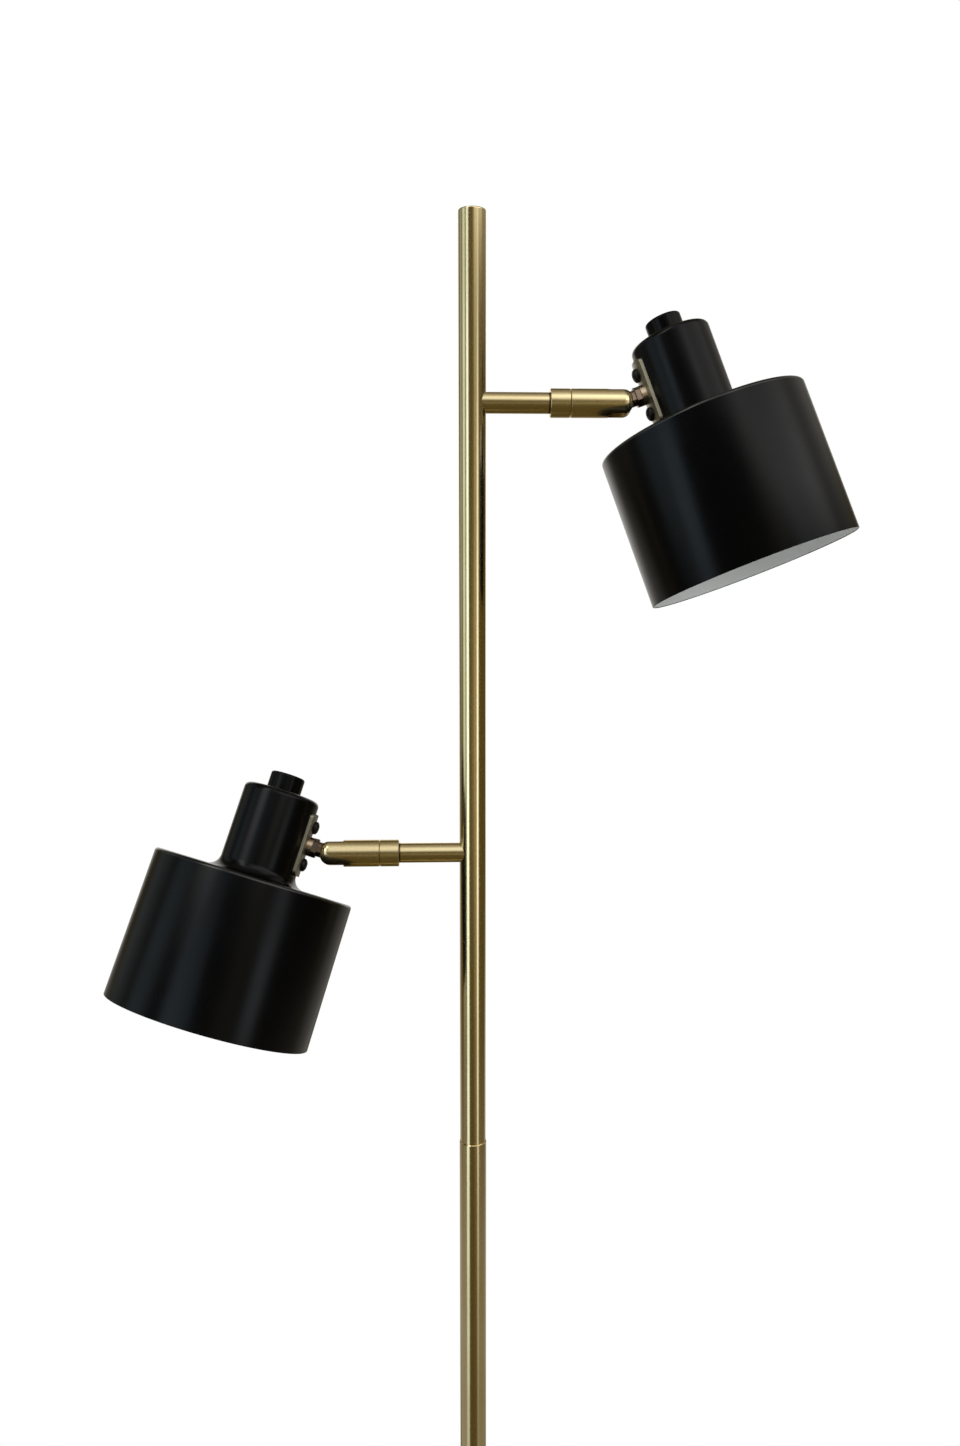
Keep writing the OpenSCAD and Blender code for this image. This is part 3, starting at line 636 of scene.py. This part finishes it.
# Panels that shiny surfaces reflect, seen from the object in degrees: azimuth from the front
# (positive to the right), half width and softness, then elevation, half height and softness,
# then colour and brightness
PANELS = {
    "left screen": ((-76, 12, 6), (8, 24, 12), COOL, 1.02),
    "right strip": ((43, 7, 4), (-8, 18, 16), PALE, 1.85),
    "right screen": ((53, 40, 14), (39, 20, 5), WHITE, 1.25),
    "right sill": ((58, 30, 12), (26, 7, 4), WHITE, 0.85),
    "amber card": ((22, 9, 8), (10, 30, 20), AMBER, 0.32),
    "front awning": ((4, 22, 10), (49, 19, 12), PALE, 1.02),
    "ceiling": ((0, 181, 1), (90, 26, 12), WHITE, 0.22),
    "front ceiling": ((0, 80, 20), (76, 14, 8), WHITE, 0.22),
    "left lamp": ((-46, 12, 8), (50, 22, 10), WHITE, 3.6),
    "left wing": ((-112, 14, 8), (20, 26, 8), COOL, 0.36),
    "right wing": ((120, 22, 10), (30, 14, 7), WHITE, 0.40),
    "left floor": ((-95, 44, 12), (-40, 12, 8), PALE, 0.26),
    "right floor": ((85, 48, 12), (-40, 12, 8), WHITE, 0.16),
    "left backdrop": ((-168, 18, 8), (8, 20, 8), WHITE, 1.0),
    "right backdrop": ((168, 18, 8), (8, 20, 8), WHITE, 1.0),
    "left skirting": ((-150, 22, 8), (-22, 12, 6), WHITE, 0.28),
    "right skirting": ((150, 22, 8), (-28, 10, 6), WHITE, 0.30),
    "front card": ((4, 14, 8), (-6, 8, 6), AMBER, 0.12),
}


def band(tree, angle, centre, half, soft):
    """Soft-edged band of an angle, in degrees either side of a centre."""
    offset = maths(tree, "ABSOLUTE", maths(tree, "SUBTRACT", angle, math.radians(centre)))
    return ramp(tree, offset, math.radians(half - soft), math.radians(half + soft), 1.0, 0.0)


def room(tree):
    """What shiny surfaces see: the dim room, with the panels added to it."""
    way = split(tree, add(tree, "ShaderNodeTexCoord").outputs["Generated"])
    azimuth = maths(tree, "ARCTAN2", way["X"], maths(tree, "MULTIPLY", way["Y"], -1.0))
    elevation = maths(tree, "ARCSINE", way["Z"])
    total = GLOOM
    for across, upright, colour, brightness in PANELS.values():
        mask = maths(tree, "MULTIPLY", band(tree, azimuth, *across), band(tree, elevation, *upright))
        inputs = {0: colour, "Scale": maths(tree, "MULTIPLY", mask, brightness)}
        panel = add(tree, "ShaderNodeVectorMath", inputs, operation="SCALE").outputs[0]
        total = add(tree, "ShaderNodeVectorMath", {0: total, 1: panel}, operation="ADD").outputs[0]
    return total


def studio_world():
    """White to the camera, plain to matt surfaces, and soft panels in a dim room to shiny ones."""
    world = bpy.data.worlds.new("studio")
    bpy.context.scene.world = world
    world.use_nodes = True
    world.cycles.sampling_method = "NONE"
    tree = world.node_tree
    tree.nodes.clear()
    rays = add(tree, "ShaderNodeLightPath").outputs
    plain = (PLAIN_LEVEL, PLAIN_LEVEL, PLAIN_LEVEL, 1)
    seen = mix_colour(tree, rays["Is Glossy Ray"], plain, room(tree))
    clear = maths(tree, "MAXIMUM", rays["Is Camera Ray"], rays["Is Transmission Ray"])
    seen = mix_colour(tree, clear, seen, (*WHITE, 1))
    sky = add(tree, "ShaderNodeBackground", {"Color": seen})
    surface = tree.nodes.new("ShaderNodeOutputWorld")
    tree.links.new(sky.outputs[0], surface.inputs["Surface"])


FLOOR_R = 5.0
FLOOR_FADE_START = 0.30
FLOOR_FADE_END = 0.80
FLOOR_PALE = (0.80, 0.80, 0.79)
FLOOR_PALER = (0.83, 0.83, 0.82)
FLOOR_ROUGHNESS = 0.9


def studio_floor():
    """A pale floor that takes the object's shadow and fades to the white background."""
    bm = bmesh.new()
    bmesh.ops.create_circle(bm, cap_ends=True, segments=96, radius=FLOOR_R)
    mesh = bpy.data.meshes.new("floor")
    bm.to_mesh(mesh)
    bm.free()
    material, tree, shader, place = new_material("Pale floor")
    grain = noise(tree, place, scale=6.0, detail=3.0)
    tint = mix_colour(tree, grain, (*FLOOR_PALE, 1), (*FLOOR_PALER, 1))
    tree.links.new(tint, shader.inputs["Base Color"])
    shader.inputs["Roughness"].default_value = FLOOR_ROUGHNESS
    away = add(tree, "ShaderNodeVectorMath", {0: place}, operation="LENGTH").outputs["Value"]
    far = ramp(tree, away, low=FLOOR_FADE_START, high=FLOOR_FADE_END)
    camera_ray = add(tree, "ShaderNodeLightPath").outputs["Is Camera Ray"]
    fade = maths(tree, "MULTIPLY", far, camera_ray)
    glow = add(tree, "ShaderNodeEmission", {"Color": (*WHITE, 1)})
    mixed = add(tree, "ShaderNodeMixShader", {0: fade, 1: shader.outputs[0], 2: glow.outputs[0]})
    surface = next(node for node in tree.nodes if node.bl_idname == "ShaderNodeOutputMaterial")
    tree.links.new(mixed.outputs[0], surface.inputs["Surface"])
    mesh.materials.append(material)
    floor = bpy.data.objects.new("floor", mesh)
    bpy.context.scene.collection.objects.link(floor)
    floor.visible_glossy = False


STRIP_AZIMUTH = math.radians(-43)
STRIP_TILT = math.radians(5)
STRIP_DISTANCE = 0.40
STRIP_W = 0.145
STRIP_H = 1.40
STRIP_CENTRE = 1.05
STRIP_SPREAD = math.radians(86)
STRIP_LEVEL = 2.5
STRIP_COLOUR = (0.70, 0.86, 1.0)


def strip_light():
    """A tall narrow light close to the lamp, which only shiny surfaces show. A grid on it keeps
    its light to a narrow spread, and the power is set so that it shows at its level head on."""
    data = bpy.data.lights.new("left strip", "AREA")
    data.shape = "RECTANGLE"
    data.size = STRIP_W
    data.size_y = STRIP_H
    data.color = STRIP_COLOUR
    data.spread = STRIP_SPREAD
    grid = 1 - STRIP_SPREAD / 2 / math.tan(STRIP_SPREAD / 2)
    data.energy = STRIP_LEVEL * math.pi * STRIP_W * STRIP_H * grid
    strip = bpy.data.objects.new("left strip", data)
    bpy.context.scene.collection.objects.link(strip)
    across = STRIP_DISTANCE * math.sin(STRIP_AZIMUTH)
    ahead = -STRIP_DISTANCE * math.cos(STRIP_AZIMUTH)
    strip.location = (across, ahead, STRIP_CENTRE)
    strip.rotation_euler = (math.pi / 2 + STRIP_TILT, 0, STRIP_AZIMUTH)
    strip.visible_diffuse = False
    strip.visible_camera = False


SOFT_LIGHT_W = 1.6
# Soft lights for matt surfaces and the floor: place, point that it faces, and power in watts
SOFT_LIGHTS = {
    "key light": ((-1.6, -2.2, 2.8), (0, 0, 1.0), 60),
    "fill light": ((2.2, -1.6, 1.8), (0, 0, 1.0), 25),
    "back light": ((0.8, 2.4, 2.6), (0, 0, 0.8), 35),
}


def soft_light(name, place, aim, power):
    """A square soft light that shiny surfaces don't show."""
    data = bpy.data.lights.new(name, "AREA")
    data.size = SOFT_LIGHT_W
    data.energy = power
    light = bpy.data.objects.new(name, data)
    bpy.context.scene.collection.objects.link(light)
    light.location = place
    light.rotation_euler = (Vector(aim) - Vector(place)).to_track_quat("-Z", "Y").to_euler()
    light.visible_glossy = False


make_camera()
finish_nodes()
for lamp_name in LAMPS:
    shade_shell(lamp_name)
    thread_sleeve(lamp_name)
studio_world()
studio_floor()
strip_light()
for light_name, setting in SOFT_LIGHTS.items():
    soft_light(light_name, *setting)
bpy.context.scene.view_settings.view_transform = "Standard"
